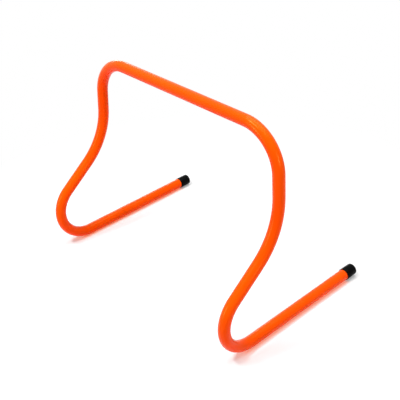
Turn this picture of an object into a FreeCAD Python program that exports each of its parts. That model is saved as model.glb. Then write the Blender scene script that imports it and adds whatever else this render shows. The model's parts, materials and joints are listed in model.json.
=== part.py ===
# Bent-tube speed hurdle: one plastic tube with six bends, and a push-on cap on each of its two ends.
# Seen from one side, the tube runs along the floor from its capped end to the toe bend, comes back up over
# itself as the leg, straightens at the knee bend into the upright, and turns at the corner into the crossbar.
# A foot and its leg lie in one vertical plane, and from the knee up the upright draws in a little towards the
# middle. The other side is its mirror image.
#
# Frame: +X along the crossbar, +Y from the toe bends to the capped ends, +Z up.
# The origin is on the floor, in the middle of the hurdle's width and depth. Sizes are in millimetres.

import FreeCAD, Part
import math
import os

import Sketcher
from FreeCAD import Placement, Rotation, Vector

# Driving dimensions: cell alias, value and meaning. Angles are in degrees, and a bend's radius is to the
# tube's centre line.
SIZES = [
    ("tube_od", 19.0, "outside diameter of the tube"),
    ("tube_wall", 2.0, "wall of the tube"),
    ("bar_run", 283.0, "straight run of the crossbar between its two corner bends"),
    ("corner_radius", 67.5, "bend from the crossbar into the upright"),
    ("upright_run", 34.0, "straight run of the upright"),
    ("upright_lean", 2.3, "how far the upright leans back from the vertical"),
    ("upright_splay", 3.6, "how far the upright spreads outwards on its way down"),
    ("knee_radius", 124.5, "bend from the upright into the leg"),
    ("leg_run", 62.5, "straight run of the leg"),
    ("leg_rise", 38.4, "slope of the leg above the floor"),
    ("toe_radius", 56.0, "bend from the leg into the foot"),
    ("foot_run", 241.0, "straight run of the foot, as far as the tube's cut end"),
    ("cap_grip", 17.5, "length of tube inside the cap"),
    ("cap_end_wall", 6.5, "closed end of the cap, beyond the tube's cut end"),
    ("cap_wall", 0.85, "wall of the cap at its mouth"),
    ("cap_taper", 0.45, "how much less radius the cap has at its closed end than at its mouth"),
    ("cap_edge_radius", 2.0, "rounding round the cap's closed end"),
    ("cap_lead_in", 0.4, "bevel inside the cap's mouth"),
    ("cap_clearance", 0.05, "radial gap between the tube and the cap's bore"),
]

# Working dimensions that several sketches share, worked out from the sheet.
LAYOUT = [
    ("tube_radius", "sizes.tube_od / 2"),
    ("bore_radius", "tube_radius - sizes.tube_wall"),
    ("cap_bore_radius", "tube_radius + sizes.cap_clearance"),
    ("cap_mouth_radius", "cap_bore_radius + sizes.cap_wall"),
    # The knee bend lies in a plane tilted about the leg's line, because the upright leans back and draws in.
    ("knee_turn", "acos(cos(sizes.upright_splay) * sin(sizes.leg_rise + sizes.upright_lean))"),
    ("knee_tilt", "atan(tan(sizes.upright_splay) / cos(sizes.leg_rise + sizes.upright_lean))"),
    # A bend's tangent runs from either end of the bend to where its two straight neighbours would meet.
    ("knee_tangent", "sizes.knee_radius * tan(knee_turn / 2)"),
    ("corner_tangent", "sizes.corner_radius * tan(45 - sizes.upright_splay / 2)"),
    ("upright_reach", "knee_tangent + sizes.upright_run + corner_tangent"),
    ("upright_height", "upright_reach * cos(sizes.upright_splay)"),
    # Each foot and its leg lie in a plane of their own, this far from the middle.
    ("side_x", "sizes.bar_run / 2 + corner_tangent + upright_reach * sin(sizes.upright_splay)"),
    # The hurdle stands on its toe bends and on the rims of the cap mouths. The rims are wider than the tube,
    # so each foot climbs a little towards its cap.
    ("toe_reach", "tube_radius + sizes.toe_radius"),
    ("rim_reach", "cap_mouth_radius + sizes.toe_radius"),
    ("toe_to_rim", "sizes.foot_run - sizes.cap_grip"),
    ("foot_tilt", "acos(toe_reach / sqrt(rim_reach ^ 2 + toe_to_rim ^ 2)) - atan2(toe_to_rim; rim_reach)"),
    # The depth runs from the front of the toe bends to the closed ends of the caps, and y = 0 is halfway.
    ("toe_start", "sizes.toe_radius * sin(foot_tilt)"),
    ("toe_to_back", "toe_start + (sizes.foot_run + sizes.cap_end_wall) * cos(foot_tilt)"),
    ("toe_y", "(toe_reach - toe_to_back) / 2"),
    ("foot_end_y", "toe_y + toe_start + sizes.foot_run * cos(foot_tilt)"),
    ("foot_end_z", "toe_reach - sizes.toe_radius * cos(foot_tilt) + sizes.foot_run * sin(foot_tilt)"),
    # The centre line is followed from the toe bend to the crossbar.
    ("leg_depth", "sizes.leg_run * cos(sizes.leg_rise) - sizes.toe_radius * sin(sizes.leg_rise)"),
    ("leg_height", "sizes.leg_run * sin(sizes.leg_rise) + sizes.toe_radius * cos(sizes.leg_rise)"),
    ("leg_end_y", "toe_y + leg_depth"),
    ("leg_end_z", "toe_reach + leg_height"),
    ("bar_y", "leg_end_y + knee_tangent * cos(sizes.leg_rise) + upright_height * sin(sizes.upright_lean)"),
    ("bar_z", "leg_end_z + knee_tangent * sin(sizes.leg_rise) + upright_height * cos(sizes.upright_lean)"),
]
ANGLES = ("knee_turn", "knee_tilt", "foot_tilt")

# Point numbers that a sketch uses for the two ends and the centre of a line or arc, and its origin.
START, END, CENTRE = 1, 2, 3
ORIGIN = (-1, 1)

NORMAL = Vector(0, 0, 1)


def make_sheet(doc):
    sheet = doc.addObject("Spreadsheet::Sheet", "sizes")
    for row, (alias, value, meaning) in enumerate(SIZES, start=1):
        sheet.set("A%d" % row, meaning)
        sheet.set("B%d" % row, str(value))
        sheet.setAlias("B%d" % row, alias)
    doc.recompute()
    return sheet


def make_layout(doc):
    layout = doc.addObject("App::VarSet", "layout")
    for name, expression in LAYOUT:
        kind = "App::PropertyAngle" if name in ANGLES else "App::PropertyFloat"
        layout.addProperty(kind, name)
        layout.setExpression(name, expression)
    doc.recompute()
    return layout


def origin_plane(body, role):
    return [feature for feature in body.Origin.OriginFeatures if feature.Role == role][0]


def make_sketch(body, name, role):
    sketch = body.newObject("Sketcher::SketchObject", name)
    sketch.AttachmentSupport = [(origin_plane(body, role), "")]
    sketch.MapMode = "FlatFace"
    return sketch


# A sketch is moved from its plane along the plane's own axes, and turned by Yaw about the plane's normal and
# then by Roll about its own level axis.
def bind_offset(sketch, turns=(), **moves):
    for direction, expression in moves.items():
        sketch.setExpression("AttachmentOffset.Base." + direction, expression)
    for turn, expression in turns:
        sketch.setExpression("AttachmentOffset.Rotation." + turn, expression)


def bind_size(sketch, name, expression, value, kind, *elements):
    constraint = sketch.addConstraint(Sketcher.Constraint(kind, *elements, value))
    sketch.renameConstraint(constraint, name)
    sketch.setExpression("Constraints." + name, expression)


def bind(sketch, kind, *elements):
    sketch.addConstraint(Sketcher.Constraint(kind, *elements))


def heading(degrees):
    return Vector(math.cos(math.radians(degrees)), math.sin(math.radians(degrees)), 0)


def arc(centre, radius, first, last):
    return Part.ArcOfCircle(Part.Circle(centre, NORMAL, radius), math.radians(first), math.radians(last))


# The tube's section: two circles about the sketch's own origin.
def draw_section(sketch, layout):
    for name in ("tube_radius", "bore_radius"):
        radius = getattr(layout, name)
        circle = sketch.addGeometry(Part.Circle(Vector(), NORMAL, radius))
        bind(sketch, "Coincident", circle, CENTRE, *ORIGIN)
        bind_size(sketch, name, "layout." + name, radius, "Radius", circle)


# One side's centre line, from the tube's cut end to the top of the leg.
def draw_side_path(sketch, sheet, layout):
    tilt = layout.foot_tilt.Value
    rise = sheet.leg_rise
    toe_centre = Vector(layout.toe_y, layout.toe_reach, 0)
    foot_start = toe_centre + heading(tilt - 90) * sheet.toe_radius
    leg_start = toe_centre + heading(rise + 90) * sheet.toe_radius
    foot = sketch.addGeometry(Part.LineSegment(foot_start, foot_start + heading(tilt) * sheet.foot_run))
    toe = sketch.addGeometry(arc(toe_centre, sheet.toe_radius, rise + 90, tilt + 270))
    leg = sketch.addGeometry(Part.LineSegment(leg_start, leg_start + heading(rise) * sheet.leg_run))

    bind(sketch, "Tangent", foot, START, toe, END)
    bind(sketch, "Tangent", toe, START, leg, START)
    bind_size(sketch, "toe_back", "-layout.toe_y", -layout.toe_y, "DistanceX", toe, CENTRE, *ORIGIN)
    bind_size(sketch, "toe_height", "layout.toe_reach", layout.toe_reach, "DistanceY", *ORIGIN, toe, CENTRE)
    bind_size(sketch, "toe_radius", "sizes.toe_radius", sheet.toe_radius, "Radius", toe)
    bind_size(sketch, "foot_run", "sizes.foot_run", sheet.foot_run, "Distance", foot)
    bind_size(sketch, "leg_run", "sizes.leg_run", sheet.leg_run, "Distance", leg)
    bind_size(sketch, "foot_tilt", "layout.foot_tilt", math.radians(tilt), "Angle", foot)
    bind_size(sketch, "leg_rise", "sizes.leg_rise", math.radians(rise), "Angle", leg)


# The next stretch, round the knee to the top of the upright. The sketch's origin is the top of the leg, and
# its level axis carries on the leg's line.
def draw_knee_path(sketch, sheet, layout):
    turn = layout.knee_turn.Value
    knee_centre = Vector(0, sheet.knee_radius, 0)
    upright_start = knee_centre + heading(turn - 90) * sheet.knee_radius
    upright_end = upright_start + heading(turn) * sheet.upright_run
    knee = sketch.addGeometry(arc(knee_centre, sheet.knee_radius, -90, turn - 90))
    upright = sketch.addGeometry(Part.LineSegment(upright_start, upright_end))

    bind(sketch, "Coincident", knee, START, *ORIGIN)
    bind(sketch, "Vertical", knee, START, knee, CENTRE)
    bind(sketch, "Tangent", knee, END, upright, START)
    bind_size(sketch, "knee_radius", "sizes.knee_radius", sheet.knee_radius, "Radius", knee)
    bind_size(sketch, "knee_turn", "layout.knee_turn", math.radians(turn), "Angle", upright)
    bind_size(sketch, "upright_run", "sizes.upright_run", sheet.upright_run, "Distance", upright)


# The last stretch of centre line, from the middle of the crossbar round the corner to the upright.
def draw_top_path(sketch, sheet):
    splay = sheet.upright_splay
    bar_end = Vector(sheet.bar_run / 2, 0, 0)
    corner_centre = bar_end - Vector(0, sheet.corner_radius, 0)
    bar = sketch.addGeometry(Part.LineSegment(Vector(), bar_end))
    corner = sketch.addGeometry(arc(corner_centre, sheet.corner_radius, splay, 90))

    bind(sketch, "Coincident", bar, START, *ORIGIN)
    bind(sketch, "Horizontal", bar)
    bind(sketch, "Tangent", bar, END, corner, END)
    bind_size(sketch, "half_bar", "sizes.bar_run / 2", sheet.bar_run / 2, "Distance", bar)
    bind_size(sketch, "corner_radius", "sizes.corner_radius", sheet.corner_radius, "Radius", corner)
    bind_size(sketch, "corner_turn", "90 - sizes.upright_splay", math.radians(90 - splay), "Angle", corner)


def make_pipe(body, name, section, path):
    pipe = body.newObject("PartDesign::AdditivePipe", name)
    pipe.Profile = section
    pipe.Spine = path
    return pipe


# The tube: its right-hand half is piped along the three paths, and the left-hand half is a mirror image.
def make_tube(doc, sheet, layout):
    body = doc.addObject("PartDesign::Body", "bent_tube")
    body.Label = "bent_tube"

    side_path = make_sketch(body, "side_path", "YZ_Plane")
    bind_offset(side_path, z="layout.side_x")
    draw_side_path(side_path, sheet, layout)
    foot_section = make_sketch(body, "foot_section", "XZ_Plane")
    bind_offset(foot_section, [("Roll", "layout.foot_tilt")],
                x="layout.side_x", y="layout.foot_end_z", z="-layout.foot_end_y")
    draw_section(foot_section, layout)

    knee_path = make_sketch(body, "knee_path", "YZ_Plane")
    bind_offset(knee_path, [("Yaw", "sizes.leg_rise"), ("Roll", "-layout.knee_tilt")],
                x="layout.leg_end_y", y="layout.leg_end_z", z="layout.side_x")
    draw_knee_path(knee_path, sheet, layout)
    leg_section = make_sketch(body, "leg_section", "XZ_Plane")
    bind_offset(leg_section, [("Roll", "sizes.leg_rise")],
                x="layout.side_x", y="layout.leg_end_z", z="-layout.leg_end_y")
    draw_section(leg_section, layout)

    top_path = make_sketch(body, "top_path", "XZ_Plane")
    bind_offset(top_path, [("Roll", "-sizes.upright_lean")], y="layout.bar_z", z="-layout.bar_y")
    draw_top_path(top_path, sheet)
    bar_section = make_sketch(body, "bar_section", "YZ_Plane")
    bind_offset(bar_section, x="layout.bar_y", y="layout.bar_z")
    draw_section(bar_section, layout)
    doc.recompute()

    stretches = [("right_foot", foot_section, side_path), ("right_upright", leg_section, knee_path),
                 ("right_half_bar", bar_section, top_path)]
    pipes = []
    for name, section, path in stretches:
        pipes.append(make_pipe(body, name, section, path))
        doc.recompute()

    mirror = body.newObject("PartDesign::Mirrored", "left_half")
    mirror.Originals = pipes
    mirror.MirrorPlane = (origin_plane(body, "YZ_Plane"), [""])
    body.Tip = mirror
    doc.recompute()

    centre_line = 2 * sum(path.Shape.Length for name, section, path in stretches)
    section_area = math.pi * (layout.tube_radius ** 2 - layout.bore_radius ** 2)
    print("tube: centre line %.2f mm, volume %.1f mm3, section times length %.1f mm3"
          % (centre_line, body.Shape.Volume, section_area * centre_line))
    return body


# Half of a cap's section. The sketch's upright axis is the cap's own axis, and its origin is the middle of
# the bore's floor, where the tube's cut end seats.
def draw_cap_section(sketch, sheet, layout):
    bore = layout.cap_bore_radius
    mouth = layout.cap_mouth_radius
    lead_in = sheet.cap_lead_in
    edge = sheet.cap_edge_radius
    rim = -sheet.cap_grip
    top = sheet.cap_end_wall
    side_angle = 90 + math.degrees(math.atan(sheet.cap_taper / (top - rim)))
    # The rounding's centre is one radius in from the tapered side and from the closed end.
    side_run = heading(side_angle)
    inwards = heading(side_angle + 90)
    to_centre = (top - edge - rim - inwards.y * edge) / side_run.y
    edge_centre = Vector(mouth, rim, 0) + side_run * to_centre + inwards * edge
    edge_start = edge_centre - inwards * edge
    edge_end = edge_centre + Vector(0, edge, 0)

    corners = [Vector(mouth, rim, 0), Vector(bore + lead_in, rim, 0), Vector(bore, rim + lead_in, 0),
               Vector(bore, 0, 0), Vector(), Vector(0, top, 0), edge_end]
    lines = [sketch.addGeometry(Part.LineSegment(*ends)) for ends in zip(corners, corners[1:])]
    rim_line, bevel, bore_line, floor_line, axis_line, end_line = lines
    side_line = sketch.addGeometry(Part.LineSegment(corners[0], edge_start))
    rounding = sketch.addGeometry(arc(edge_centre, edge, side_angle - 90, 90))

    for line, following in zip(lines, lines[1:]):
        bind(sketch, "Coincident", line, END, following, START)
    bind(sketch, "Coincident", side_line, START, rim_line, START)
    bind(sketch, "Tangent", side_line, END, rounding, START)
    bind(sketch, "Tangent", rounding, END, end_line, END)
    for line in (rim_line, floor_line, end_line):
        bind(sketch, "Horizontal", line)
    for line in (bore_line, axis_line):
        bind(sketch, "Vertical", line)
    bind(sketch, "Coincident", floor_line, END, *ORIGIN)

    bind_size(sketch, "bore", "layout.cap_bore_radius", bore, "DistanceX", *ORIGIN, bore_line, END)
    bind_size(sketch, "mouth", "layout.cap_mouth_radius", mouth, "DistanceX", *ORIGIN, rim_line, START)
    bind_size(sketch, "grip", "sizes.cap_grip", -rim, "DistanceY", rim_line, START, *ORIGIN)
    bind_size(sketch, "end_wall", "sizes.cap_end_wall", top, "DistanceY", *ORIGIN, axis_line, END)
    bind_size(sketch, "lead_in_across", "sizes.cap_lead_in", lead_in, "DistanceX", bevel, END, bevel, START)
    bind_size(sketch, "lead_in_along", "sizes.cap_lead_in", lead_in, "DistanceY", bevel, START, bevel, END)
    bind_size(sketch, "edge_radius", "sizes.cap_edge_radius", edge, "Radius", rounding)
    bind_size(sketch, "side_slope", "90 deg + atan(sizes.cap_taper / (sizes.cap_grip + sizes.cap_end_wall))",
              math.radians(side_angle), "Angle", side_line)


# A cap stands on the tube's cut end, and its axis follows the foot.
def make_cap(doc, sheet, layout, label, side):
    body = doc.addObject("PartDesign::Body", label)
    body.Label = label
    section = make_sketch(body, label + "_section", "XZ_Plane")
    draw_cap_section(section, sheet, layout)
    turned = body.newObject("PartDesign::Revolution", label + "_turned")
    turned.Profile = section
    turned.ReferenceAxis = (section, ["V_Axis"])
    turned.Angle = 360

    body.Placement = Placement(Vector(), Rotation(Vector(-1, 0, 0), 90))
    body.setExpression("Placement.Base.x", "%d * layout.side_x" % side)
    body.setExpression("Placement.Base.y", "layout.foot_end_y")
    body.setExpression("Placement.Base.z", "layout.foot_end_z")
    body.setExpression("Placement.Rotation.Angle", "90 deg - layout.foot_tilt")
    doc.recompute()
    return body


def check(doc, pieces):
    for item in doc.Objects:
        if "Invalid" in item.State or "Error" in item.State:
            raise RuntimeError("%s failed to compute" % item.Label)
    for piece in pieces:
        if piece.Shape.isNull() or not piece.Shape.isValid() or len(piece.Shape.Solids) != 1:
            raise RuntimeError("%s is not one valid solid" % piece.Label)


def main():
    doc = FreeCAD.newDocument("speed_hurdle")
    sheet = make_sheet(doc)
    layout = make_layout(doc)
    pieces = [make_tube(doc, sheet, layout)]
    for label, side in (("left_end_cap", -1), ("right_end_cap", 1)):
        pieces.append(make_cap(doc, sheet, layout, label, side))
    doc.recompute()
    check(doc, pieces)

    os.makedirs("parts", exist_ok=True)
    for piece in pieces:
        piece.Shape.exportStep("parts/%s.step" % piece.Label)
        print("%s: %.1f mm3, %s" % (piece.Label, piece.Shape.Volume, piece.Shape.BoundBox))


main()
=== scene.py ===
import json
import math

import bmesh
import bpy
from mathutils import Matrix, Vector


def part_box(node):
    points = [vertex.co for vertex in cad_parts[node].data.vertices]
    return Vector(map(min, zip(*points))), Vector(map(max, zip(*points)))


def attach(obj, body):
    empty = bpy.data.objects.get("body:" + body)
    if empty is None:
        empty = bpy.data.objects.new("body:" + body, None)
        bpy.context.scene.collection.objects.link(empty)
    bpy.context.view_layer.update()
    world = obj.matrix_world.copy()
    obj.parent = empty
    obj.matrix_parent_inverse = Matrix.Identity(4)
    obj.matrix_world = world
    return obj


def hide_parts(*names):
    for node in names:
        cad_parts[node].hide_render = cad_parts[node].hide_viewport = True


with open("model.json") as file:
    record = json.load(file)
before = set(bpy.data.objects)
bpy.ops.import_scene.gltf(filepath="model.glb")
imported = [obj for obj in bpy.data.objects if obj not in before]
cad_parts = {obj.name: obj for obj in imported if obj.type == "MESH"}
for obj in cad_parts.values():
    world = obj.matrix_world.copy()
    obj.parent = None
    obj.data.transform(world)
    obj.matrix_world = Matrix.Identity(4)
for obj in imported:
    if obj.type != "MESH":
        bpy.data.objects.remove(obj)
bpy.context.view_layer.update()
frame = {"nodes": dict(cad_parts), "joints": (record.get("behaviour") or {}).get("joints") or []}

xAxis = Vector((1, 0, 0))
footAxis = Vector(frame["joints"][0]["axis"]).normalized()   # a cap pulls off along its foot
footTilt = math.asin(footAxis.z)
print("frame loaded:", sorted(frame["nodes"]))


# small helpers
def startFresh():
    if bpy.context.object and bpy.context.object.mode != "OBJECT":
        bpy.ops.object.mode_set(mode="OBJECT")
    bpy.ops.object.select_all(action="DESELECT")


def selectFaces(piece, wanted):
    bpy.ops.mesh.select_all(action="DESELECT")
    bpy.ops.mesh.select_mode(type="FACE")
    cage = bmesh.from_edit_mesh(piece.data)
    for face in cage.faces:
        face.select_set(wanted(face.calc_center_median(), face.normal))
    bmesh.update_edit_mesh(piece.data)


def selectEdges(piece, wanted):
    bpy.ops.mesh.select_all(action="DESELECT")
    bpy.ops.mesh.select_mode(type="EDGE")
    cage = bmesh.from_edit_mesh(piece.data)
    for edge in cage.edges:
        edge.select_set(all(wanted(vertex.co) for vertex in edge.verts))
    bmesh.update_edit_mesh(piece.data)


def applyModifier(piece, name, kind, **settings):
    modifier = piece.modifiers.new(name, kind)
    for setting, value in settings.items():
        setattr(modifier, setting, value)
    bpy.context.view_layer.objects.active = piece
    bpy.ops.object.modifier_apply(modifier=name)


def near(value, target, slack=0.00002):
    return abs(value - target) < slack


def radiusOf(point):
    return math.hypot(point.x, point.y)


# camera, where the photo was taken from
cameraSet = {
    "place": (0.79685, -0.68062, 0.80706),
    "azimuth": 49.323,     # degrees, turned left from looking along +Y
    "dip": 32.955,         # degrees below the horizon
    "roll": -2.981,
    "focalPixels": 732.74,
    "imageWidth": 400,
    "sensor": 36.0,
}


def makeCamera(spec):
    lens = bpy.data.cameras.new("photoCamera")
    lens.sensor_width = spec["sensor"]
    lens.lens = spec["focalPixels"] / spec["imageWidth"] * spec["sensor"]
    camera = bpy.data.objects.new("photoCamera", lens)
    bpy.context.scene.collection.objects.link(camera)
    turn = Matrix.Rotation(math.radians(spec["azimuth"]), 4, "Z")
    tip = Matrix.Rotation(math.radians(90 - spec["dip"]), 4, "X")
    roll = Matrix.Rotation(math.radians(spec["roll"]), 4, "Z")
    camera.matrix_world = Matrix.Translation(spec["place"]) @ turn @ tip @ roll
    bpy.context.scene.camera = camera
    print("camera set")


# materials
def addNode(tree, kind, inputs=None, **settings):
    node = tree.nodes.new(kind)
    for name, value in settings.items():
        setattr(node, name, value)
    for name, value in (inputs or {}).items():
        node.inputs[name].default_value = value
    return node


def feed(tree, socket, value):
    if isinstance(value, bpy.types.NodeSocket):
        tree.links.new(value, socket)
    else:
        socket.default_value = value


def addMix(tree, factor, first, second):
    node = addNode(tree, "ShaderNodeMix", data_type="RGBA", blend_type="MIX")
    feed(tree, node.inputs[0], factor)
    feed(tree, node.inputs[6], first)      # 6, 7 and 2 are the node's colour sockets
    feed(tree, node.inputs[7], second)
    return node.outputs[2]


def addRange(tree, source, low, high, newLow=0.0, newHigh=1.0):
    limits = {"From Min": low, "From Max": high, "To Min": newLow, "To Max": newHigh}
    node = addNode(tree, "ShaderNodeMapRange", limits)
    tree.links.new(source, node.inputs["Value"])
    return node.outputs["Result"]


def addMath(tree, operation, first, second):
    node = addNode(tree, "ShaderNodeMath", operation=operation)
    feed(tree, node.inputs[0], first)
    feed(tree, node.inputs[1], second)
    return node.outputs[0]


def addNoise(tree, vector, scale, detail=2.0, roughness=0.5, stretch=(1, 1, 1)):
    mapping = addNode(tree, "ShaderNodeMapping", {"Scale": stretch})
    tree.links.new(vector, mapping.inputs["Vector"])
    noise = addNode(tree, "ShaderNodeTexNoise", {"Scale": scale, "Detail": detail, "Roughness": roughness})
    tree.links.new(mapping.outputs["Vector"], noise.inputs["Vector"])
    return noise.outputs["Fac"]


def newMaterial(name):
    material = bpy.data.materials.new(name)
    material.use_nodes = True
    return material, material.node_tree, material.node_tree.nodes["Principled BSDF"]


tubeFinish = {
    "deep": (0.95, 0.071, 0.0004, 1),
    "bright": (0.98, 0.107, 0.0009, 1),
    "roughness": (0.20, 0.26),
    "specular": 0.9,
    "specularTint": (1.0, 0.66, 0.12, 1),
    "ior": 1.2,
    "dieLine": 0.0009,           # width of a draw line along the tube
    "dieLength": 0.5,
    "cloud": 0.045,              # size of the cloudy patches in the colour
    "peel": 0.0016,              # size of the ripples in the skin
    "lineDepth": 0.000006,
    "peelDepth": 0.000012,
    "noiseSpan": (0.3, 0.7),     # what is used of a noise's range
    "cloudTint": (0.30, 0.60),   # share of the bright colour, from patch to patch
    "lineTint": 0.07,            # how far a draw line shifts that share
    "stretchTint": 2.2,          # how far the stretch at a bend shifts it
    "lineGloss": 0.6,            # share of the draw lines in the gloss, the patches have the rest
}


def makeTubeFinish(spec):
    material, tree, shader = newMaterial("orangeTube")
    uv = addNode(tree, "ShaderNodeUVMap", uv_map="tubeUv").outputs["UV"]
    place = addNode(tree, "ShaderNodeTexCoord").outputs["Object"]
    stretch = addNode(tree, "ShaderNodeAttribute", attribute_name="stretch").outputs["Fac"]
    drawn = (1 / spec["dieLine"], 1 / spec["dieLength"], 1)
    lines = addNoise(tree, uv, 1.0, detail=3.0, roughness=0.6, stretch=drawn)
    clouds = addNoise(tree, place, 1 / spec["cloud"], detail=3.0)
    peel = addNoise(tree, place, 1 / spec["peel"], detail=1.0)
    span = spec["noiseSpan"]

    # outer sides of the bends are drawn thin and paler, inner sides are fuller
    tint = addRange(tree, clouds, *span, *spec["cloudTint"])
    tint = addMath(tree, "ADD", tint, addRange(tree, lines, *span, -spec["lineTint"], spec["lineTint"]))
    tint = addMath(tree, "ADD", tint, addMath(tree, "MULTIPLY", stretch, spec["stretchTint"]))
    tree.links.new(addMix(tree, tint, spec["deep"], spec["bright"]), shader.inputs["Base Color"])

    gloss = addMath(tree, "ADD",
                    addMath(tree, "MULTIPLY", lines, spec["lineGloss"]),
                    addMath(tree, "MULTIPLY", clouds, 1 - spec["lineGloss"]))
    tree.links.new(addRange(tree, gloss, *span, *spec["roughness"]), shader.inputs["Roughness"])
    shader.inputs["Specular IOR Level"].default_value = spec["specular"]
    shader.inputs["Specular Tint"].default_value = spec["specularTint"]
    shader.inputs["IOR"].default_value = spec["ior"]

    skin = addNode(tree, "ShaderNodeBump", {"Strength": 1.0, "Distance": spec["peelDepth"]})
    tree.links.new(peel, skin.inputs["Height"])
    scored = addNode(tree, "ShaderNodeBump", {"Strength": 1.0, "Distance": spec["lineDepth"]})
    tree.links.new(lines, scored.inputs["Height"])
    tree.links.new(skin.outputs["Normal"], scored.inputs["Normal"])
    tree.links.new(scored.outputs["Normal"], shader.inputs["Normal"])
    return material


capFinish = {
    "black": (0.0005, 0.0005, 0.0005, 1),
    "dusty": (0.002, 0.002, 0.002, 1),
    "roughness": (0.26, 0.40),
    "specular": 0.18,
    "ior": 1.2,
    "grain": 0.00045,        # size of the moulded grain
    "grainDepth": 0.000012,
    "patch": 0.006,          # size of the dusty patches
    "dustSpan": (0.35, 0.75),
    "glossSpan": (0.3, 0.7),
}


def makeCapFinish(spec):
    material, tree, shader = newMaterial("blackCap")
    place = addNode(tree, "ShaderNodeTexCoord").outputs["Object"]
    grain = addNoise(tree, place, 1 / spec["grain"])
    patches = addNoise(tree, place, 1 / spec["patch"], detail=4.0, roughness=0.6)
    dust = addRange(tree, patches, *spec["dustSpan"])
    tree.links.new(addMix(tree, dust, spec["black"], spec["dusty"]), shader.inputs["Base Color"])
    gloss = addRange(tree, patches, *spec["glossSpan"], *spec["roughness"])
    tree.links.new(gloss, shader.inputs["Roughness"])
    shader.inputs["Specular IOR Level"].default_value = spec["specular"]
    shader.inputs["IOR"].default_value = spec["ior"]
    bump = addNode(tree, "ShaderNodeBump", {"Strength": 1.0, "Distance": spec["grainDepth"]})
    tree.links.new(grain, bump.inputs["Height"])
    tree.links.new(bump.outputs["Normal"], shader.inputs["Normal"])
    return material


# the tube, made as it is bent: one ring pushed along the straights and spun round the bends
tubeSet = {
    "radius": 0.0095,
    "wall": 0.002,
    "footRun": 0.241,
    "toeRadius": 0.056,
    "legRun": 0.0625,
    "legRise": 38.4,        # degrees
    "kneeRadius": 0.1245,
    "uprightRun": 0.034,
    "uprightLean": 2.3,     # degrees back
    "uprightSplay": 3.6,    # degrees outwards, going down
    "cornerRadius": 0.0675,
    "barRun": 0.283,
    "sides": 64,
    "straightStep": 0.012,
    "bendStep": 0.0035,
    "cutBevel": 0.0003,
    "cutSegments": 3,
    "cutAngle": 60,         # degrees, only the edges of the cut ends are sharper
    "smoothAngle": 40,
    "easeRings": 4,         # rings over which a bend's stretch fades out
}


def bendingList(spec):
    rise = math.radians(spec["legRise"])
    lean = math.radians(spec["uprightLean"])
    splay = math.radians(spec["uprightSplay"])
    legUp = Vector((0, math.cos(rise), math.sin(rise)))
    leftUp = Vector((math.sin(splay), math.cos(splay) * math.sin(lean), math.cos(splay) * math.cos(lean)))
    rightDown = Vector((leftUp.x, -leftUp.y, -leftUp.z))
    return [
        ("run", spec["footRun"]),
        ("bend", spec["toeRadius"], legUp),
        ("run", spec["legRun"]),
        ("bend", spec["kneeRadius"], leftUp),
        ("run", spec["uprightRun"]),
        ("bend", spec["cornerRadius"], xAxis),
        ("run", spec["barRun"]),
        ("bend", spec["cornerRadius"], rightDown),
        ("run", spec["uprightRun"]),
        ("bend", spec["kneeRadius"], -legUp),
        ("run", spec["legRun"]),
        ("bend", spec["toeRadius"], footAxis),
        ("run", spec["footRun"]),
    ]


def bendTube(spec):
    low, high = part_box("bent_tube")
    toeCentre = spec["radius"] + spec["toeRadius"]      # height over the floor
    leftEnd = Vector((
        low.x + spec["radius"],
        high.y - spec["radius"] * math.sin(footTilt),
        toeCentre - spec["toeRadius"] * math.cos(footTilt) + spec["footRun"] * math.sin(footTilt),
    ))

    startFresh()
    bpy.ops.mesh.primitive_circle_add(
        vertices=spec["sides"], radius=spec["radius"], fill_type="NOTHING",
        location=leftEnd, rotation=(math.pi / 2 + footTilt, 0, 0))
    tube = bpy.context.object
    tube.name = "bentTube"
    bpy.ops.object.transform_apply(location=True, rotation=True, scale=True)
    bpy.ops.object.mode_set(mode="EDIT")
    bpy.ops.mesh.select_all(action="SELECT")

    place = leftEnd.copy()
    heading = -footAxis
    rings = [(0.0, None)]     # length of tube up to each ring, and the bend that it stands in
    for kind, size, *onward in bendingList(spec):
        if kind == "run":
            steps = max(1, round(size / spec["straightStep"]))
            for step in range(steps):
                bpy.ops.mesh.extrude_region_move(TRANSFORM_OT_translate={"value": heading * (size / steps)})
                rings.append((rings[-1][0] + size / steps, None))
            place = place + heading * size
        else:
            turn = heading.angle(onward[0])
            axis = heading.cross(onward[0]).normalized()
            centre = place + axis.cross(heading) * size
            steps = round(size * turn / spec["bendStep"])
            bpy.ops.mesh.spin(steps=steps, angle=-turn, center=centre, axis=axis)   # spin turns left-handed
            for step in range(steps):
                rings.append((rings[-1][0] + size * turn / steps, (centre, axis, size)))
            place = centre + Matrix.Rotation(turn, 3, axis) @ (place - centre)
            heading = onward[0]
    bpy.ops.mesh.select_all(action="SELECT")
    bpy.ops.mesh.normals_make_consistent(inside=False)
    bpy.ops.object.mode_set(mode="OBJECT")
    print("tube bent:", len(rings), "rings,", round(rings[-1][0], 4), "m of tube")
    return tube, rings, leftEnd, place


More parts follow.
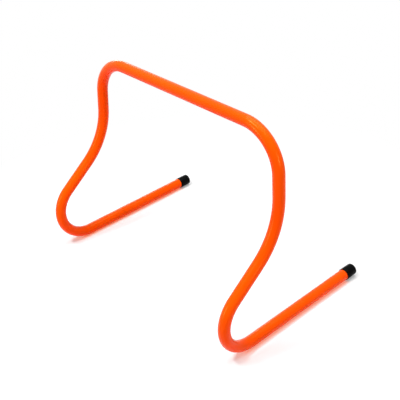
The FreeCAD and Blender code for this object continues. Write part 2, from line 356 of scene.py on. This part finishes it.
# the ring's points keep their order all along the tube, so a point's number gives its ring and side
def markTube(tube, rings, spec):
    mesh = tube.data
    sides = spec["sides"]
    uv = mesh.uv_layers.new(name="tubeUv")
    sideWidth = 2 * math.pi * spec["radius"] / sides
    for face in mesh.polygons:
        around = [mesh.loops[loop].vertex_index % sides for loop in face.loop_indices]
        wraps = max(around) - min(around) > 1
        for loop, side in zip(face.loop_indices, around):
            ring = mesh.loops[loop].vertex_index // sides
            across = side + sides if wraps and side == 0 else side
            uv.data[loop].uv = (across * sideWidth, rings[ring][0])

    stretches = []
    for ring, (_, bend) in enumerate(rings):
        points = [mesh.vertices[ring * sides + side].co for side in range(sides)]
        if bend is None:
            stretches.append([0.0] * sides)
        else:
            centre, axis, radius = bend
            arms = [(point - centre) - axis * (point - centre).dot(axis) for point in points]
            stretches.append([arm.length / radius - 1 for arm in arms])
    attribute = mesh.attributes.new("stretch", "FLOAT", "POINT")
    ease = spec["easeRings"]
    for ring in range(len(rings)):
        nearby = stretches[max(0, ring - ease):ring + ease + 1]
        for side in range(sides):
            attribute.data[ring * sides + side].value = sum(row[side] for row in nearby) / len(nearby)


def makeTube(spec, finish):
    tube, rings, leftEnd, rightEnd = bendTube(spec)
    markTube(tube, rings, spec)
    applyModifier(tube, "wall", "SOLIDIFY", thickness=spec["wall"], offset=-1)
    applyModifier(tube, "cutEdges", "BEVEL", width=spec["cutBevel"], segments=spec["cutSegments"],
                  limit_method="ANGLE", angle_limit=math.radians(spec["cutAngle"]))
    bpy.ops.object.shade_smooth_by_angle(angle=math.radians(spec["smoothAngle"]))
    tube.data.materials.append(finish)
    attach(tube, "tube")
    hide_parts("bent_tube")
    print("tube walled:", len(tube.data.polygons), "faces")
    return leftEnd, rightEnd


# the caps: one is shaped from a cylinder and copied, and both are set on the tube's cut ends
capSet = {
    "grip": 0.0175,
    "endWall": 0.0065,
    "wall": 0.00085,
    "clearance": 0.00005,
    "taper": 0.00045,
    "edgeRadius": 0.002,
    "edgeSegments": 8,
    "leadIn": 0.0004,
    "mouthBevel": 0.00015,
    "mouthSegments": 2,
    "panelEdge": 0.0022,      # flat rim round the sunk end panel
    "panelDepth": 0.0004,
    "gateRadius": 0.0011,     # moulding gate in the middle of the end
    "gateDepth": 0.0003,
    "seamWidth": 0.0003,      # mould seam down both sides
    "seamHeight": 0.00004,
    "sides": 68,              # four times an odd number, so that a face looks out at 45 degrees
    "smoothAngle": 30,        # degrees
    "facing": 0.9,            # a face looks up or down when its normal has this much of Z
}


def modelCap(spec, finish):
    bore = tubeSet["radius"] + spec["clearance"]
    mouth = bore + spec["wall"]
    length = spec["grip"] + spec["endWall"]
    top = spec["endWall"]
    rim = -spec["grip"]
    facing = spec["facing"]

    startFresh()
    bpy.ops.mesh.primitive_cylinder_add(
        vertices=spec["sides"], radius=mouth, depth=length, end_fill_type="NGON",
        location=(0, 0, top - length / 2))
    cap = bpy.context.object
    cap.name = "rightCap"
    bpy.ops.object.transform_apply(location=True, rotation=True, scale=True)
    bpy.ops.object.mode_set(mode="EDIT")

    selectFaces(cap, lambda middle, normal: normal.z > facing)
    shrink = (mouth - spec["taper"]) / mouth
    bpy.ops.transform.resize(value=(shrink, shrink, 1), center_override=(0, 0, top))

    # bore, with a bevel inside its mouth and a smaller one outside
    selectFaces(cap, lambda middle, normal: normal.z < -facing)
    bpy.ops.mesh.inset(thickness=mouth - bore, depth=0)
    bpy.ops.mesh.extrude_region_move(TRANSFORM_OT_translate={"value": (0, 0, spec["grip"])})
    selectEdges(cap, lambda point: near(point.z, rim) and radiusOf(point) < bore + spec["wall"] / 3)
    bpy.ops.mesh.bevel(offset=spec["leadIn"], segments=spec["mouthSegments"], affect="EDGES")
    selectEdges(cap, lambda point: near(point.z, rim) and radiusOf(point) > mouth - spec["wall"] / 3)
    bpy.ops.mesh.bevel(offset=spec["mouthBevel"], segments=spec["mouthSegments"], affect="EDGES")

    # rounded closed end with a sunk panel and the gate mark
    selectEdges(cap, lambda point: near(point.z, top))
    bpy.ops.mesh.bevel(offset=spec["edgeRadius"], segments=spec["edgeSegments"], affect="EDGES")
    selectFaces(cap, lambda middle, normal: normal.z > facing and near(middle.z, top)
                and near(radiusOf(middle), 0))
    bpy.ops.mesh.inset(thickness=spec["panelEdge"], depth=0)
    bpy.ops.mesh.inset(thickness=spec["panelDepth"], depth=-spec["panelDepth"])
    panel = mouth - spec["taper"] - spec["edgeRadius"] - spec["panelEdge"] - spec["panelDepth"]
    bpy.ops.mesh.inset(thickness=panel - spec["gateRadius"], depth=0)
    bpy.ops.mesh.inset(thickness=spec["gateDepth"], depth=-spec["gateDepth"])

    # mould seam down two opposite faces of the side
    selectFaces(cap, lambda middle, normal: near(middle.x, middle.y) and abs(normal.z) < 1 - facing
                and radiusOf(middle) > bore + spec["wall"] / 2)
    halfSide = math.pi * mouth / spec["sides"]
    bpy.ops.mesh.inset(thickness=halfSide - spec["seamWidth"] / 2, use_individual=True)
    bpy.ops.transform.shrink_fatten(value=spec["seamHeight"])
    bpy.ops.object.mode_set(mode="OBJECT")
    bpy.ops.object.shade_smooth_by_angle(angle=math.radians(spec["smoothAngle"]))
    cap.data.materials.append(finish)
    return cap


def makeCaps(spec, finish, leftEnd, rightEnd):
    right = modelCap(spec, finish)
    left = right.copy()
    left.data = right.data.copy()
    left.name = "leftCap"
    bpy.context.scene.collection.objects.link(left)
    for cap, end, body, node in ((left, leftEnd, "left_cap", "left_end_cap"),
                                 (right, rightEnd, "right_cap", "right_end_cap")):
        startFresh()
        cap.location = end
        cap.rotation_euler = (footTilt - math.pi / 2, 0, 0)
        cap.select_set(True)
        bpy.context.view_layer.objects.active = cap
        bpy.ops.object.transform_apply(location=True, rotation=True, scale=True)
        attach(cap, body)
        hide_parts(node)
    print("caps on:", len(left.data.polygons), "faces each")


# studio: white floor that keeps the shadow, soft light from above, from the front and from both sides
studioSet = {
    "floorSize": 14.0,
    "floorDrop": 0.00005,                    # a hair under the lines that the hurdle stands on
    "floorRoughness": 0.9,
    "floorColour": (0.14, 0.80, 0.91, 1),    # with the lamps and the lift it comes to just white; low in red, so the painted warm lift keeps red in the shadow
    "liftWithPaintedWarmth": (0.87, 0.13, 0.02, 1),      # white lift plus a painted warm bounce: a red glow that keeps the shadow as warm as it is beside the orange tube
    "plainColour": (0.76, 0.76, 0.76, 1),    # beside the caps and in front of the toes the shadow is grey, without the painted warm bounce
    "plainLift": (0.22, 0.22, 0.22, 1),
    "capStart": (0.128, 0.138),              # along Y, where the tube goes into its caps
    "toeFront": (-0.108, -0.140),            # along Y, where the toe bends rise from the floor
    "paintedWarmBounce": (0.80, 0.30, 0.25, 1),    # the floor's colour for the light it throws up on the hurdle, painted red to stand in for the orange bounce from the tube
    "whiteFade": (0.32, 0.58),               # metres from the middle, where the floor turns plain white
    "ambient": 0.10,
    "lights": (
        # name, place, aimed at, width, depth, watts
        ("topBox", (-0.33, -0.91, 1.90), (0, 0, 0.15), 0.62, 0.24, 22.0),
        ("overBox", (0.00, 0.15, 1.65), (0, 0, 0), 1.4, 1.4, 22.0),
        ("leftBox", (-1.56, 0.79, 0.58), (0, 0, 0.15), 0.6, 0.6, 5.0),
        ("frontBox", (-0.54, -1.66, 0.60), (0, 0, 0.15), 0.12, 0.9, 9.0),
        ("rightBox", (1.29, -0.10, 0.57), (0, 0, 0.15), 0.08, 0.40, 5.0),
    ),
}


def seenRays(tree):
    path = addNode(tree, "ShaderNodeLightPath")
    shiny = addMath(tree, "MAXIMUM", path.outputs["Is Glossy Ray"], path.outputs["Is Transmission Ray"])
    return addMath(tree, "MAXIMUM", path.outputs["Is Camera Ray"], shiny)


def makeStudio(spec):
    white = (1, 1, 1, 1)
    black = (0, 0, 0, 1)
    startFresh()
    bpy.ops.mesh.primitive_plane_add(size=spec["floorSize"], location=(0, 0, -spec["floorDrop"]))
    floor = bpy.context.object
    floor.name = "floor"
    material, tree, shader = newMaterial("whiteFloor")
    seen = seenRays(tree)
    place = addNode(tree, "ShaderNodeTexCoord").outputs["Object"]
    split = addNode(tree, "ShaderNodeSeparateXYZ")
    tree.links.new(place, split.inputs[0])
    # 1 beside the caps and in front of the toes, where the painted warm bounce is left out; 0 round the
    # tube
    plain = addMath(tree, "MAXIMUM",
                    addRange(tree, split.outputs["Y"], *spec["capStart"]),
                    addRange(tree, split.outputs["Y"], *spec["toeFront"]))
    away = addNode(tree, "ShaderNodeVectorMath", operation="LENGTH")
    tree.links.new(place, away.inputs[0])
    fade = addRange(tree, away.outputs["Value"], *spec["whiteFade"])

    # far off, the lamps' share goes to black as the lift goes to white
    colour = addMix(tree, plain, spec["floorColour"], spec["plainColour"])
    colour = addMix(tree, fade, colour, black)
    # round the tube the lift carries the painted warm bounce, a red glow in the shadow; elsewhere it is
    # grey, then white far off
    lift = addMix(tree, plain, spec["liftWithPaintedWarmth"], spec["plainLift"])
    lift = addMix(tree, fade, lift, white)
    tree.links.new(addMix(tree, seen, spec["paintedWarmBounce"], colour), shader.inputs["Base Color"])
    tree.links.new(lift, shader.inputs["Emission Color"])
    tree.links.new(seen, shader.inputs["Emission Strength"])
    shader.inputs["Roughness"].default_value = spec["floorRoughness"]
    shader.inputs["Specular IOR Level"].default_value = 0.0
    floor.data.materials.append(material)

    world = bpy.data.worlds.new("whiteRoom")
    world.use_nodes = True
    room = world.node_tree
    sky = room.nodes["Background"]
    sky.inputs["Color"].default_value = white
    glow = addRange(room, seenRays(room), 0.0, 1.0, spec["ambient"], 1.0)
    room.links.new(glow, sky.inputs["Strength"])
    bpy.context.scene.world = world

    for name, spot, target, width, depth, watts in spec["lights"]:
        lamp = bpy.data.lights.new(name, "AREA")
        lamp.shape = "RECTANGLE"
        lamp.size = width
        lamp.size_y = depth
        lamp.energy = watts
        box = bpy.data.objects.new(name, lamp)
        bpy.context.scene.collection.objects.link(box)
        box.location = spot
        box.rotation_euler = (Vector(target) - Vector(spot)).to_track_quat("-Z", "Y").to_euler()
    bpy.context.scene.view_settings.view_transform = "Standard"
    print("studio lit")


makeCamera(cameraSet)
leftEnd, rightEnd = makeTube(tubeSet, makeTubeFinish(tubeFinish))
makeCaps(capSet, makeCapFinish(capFinish), leftEnd, rightEnd)
makeStudio(studioSet)
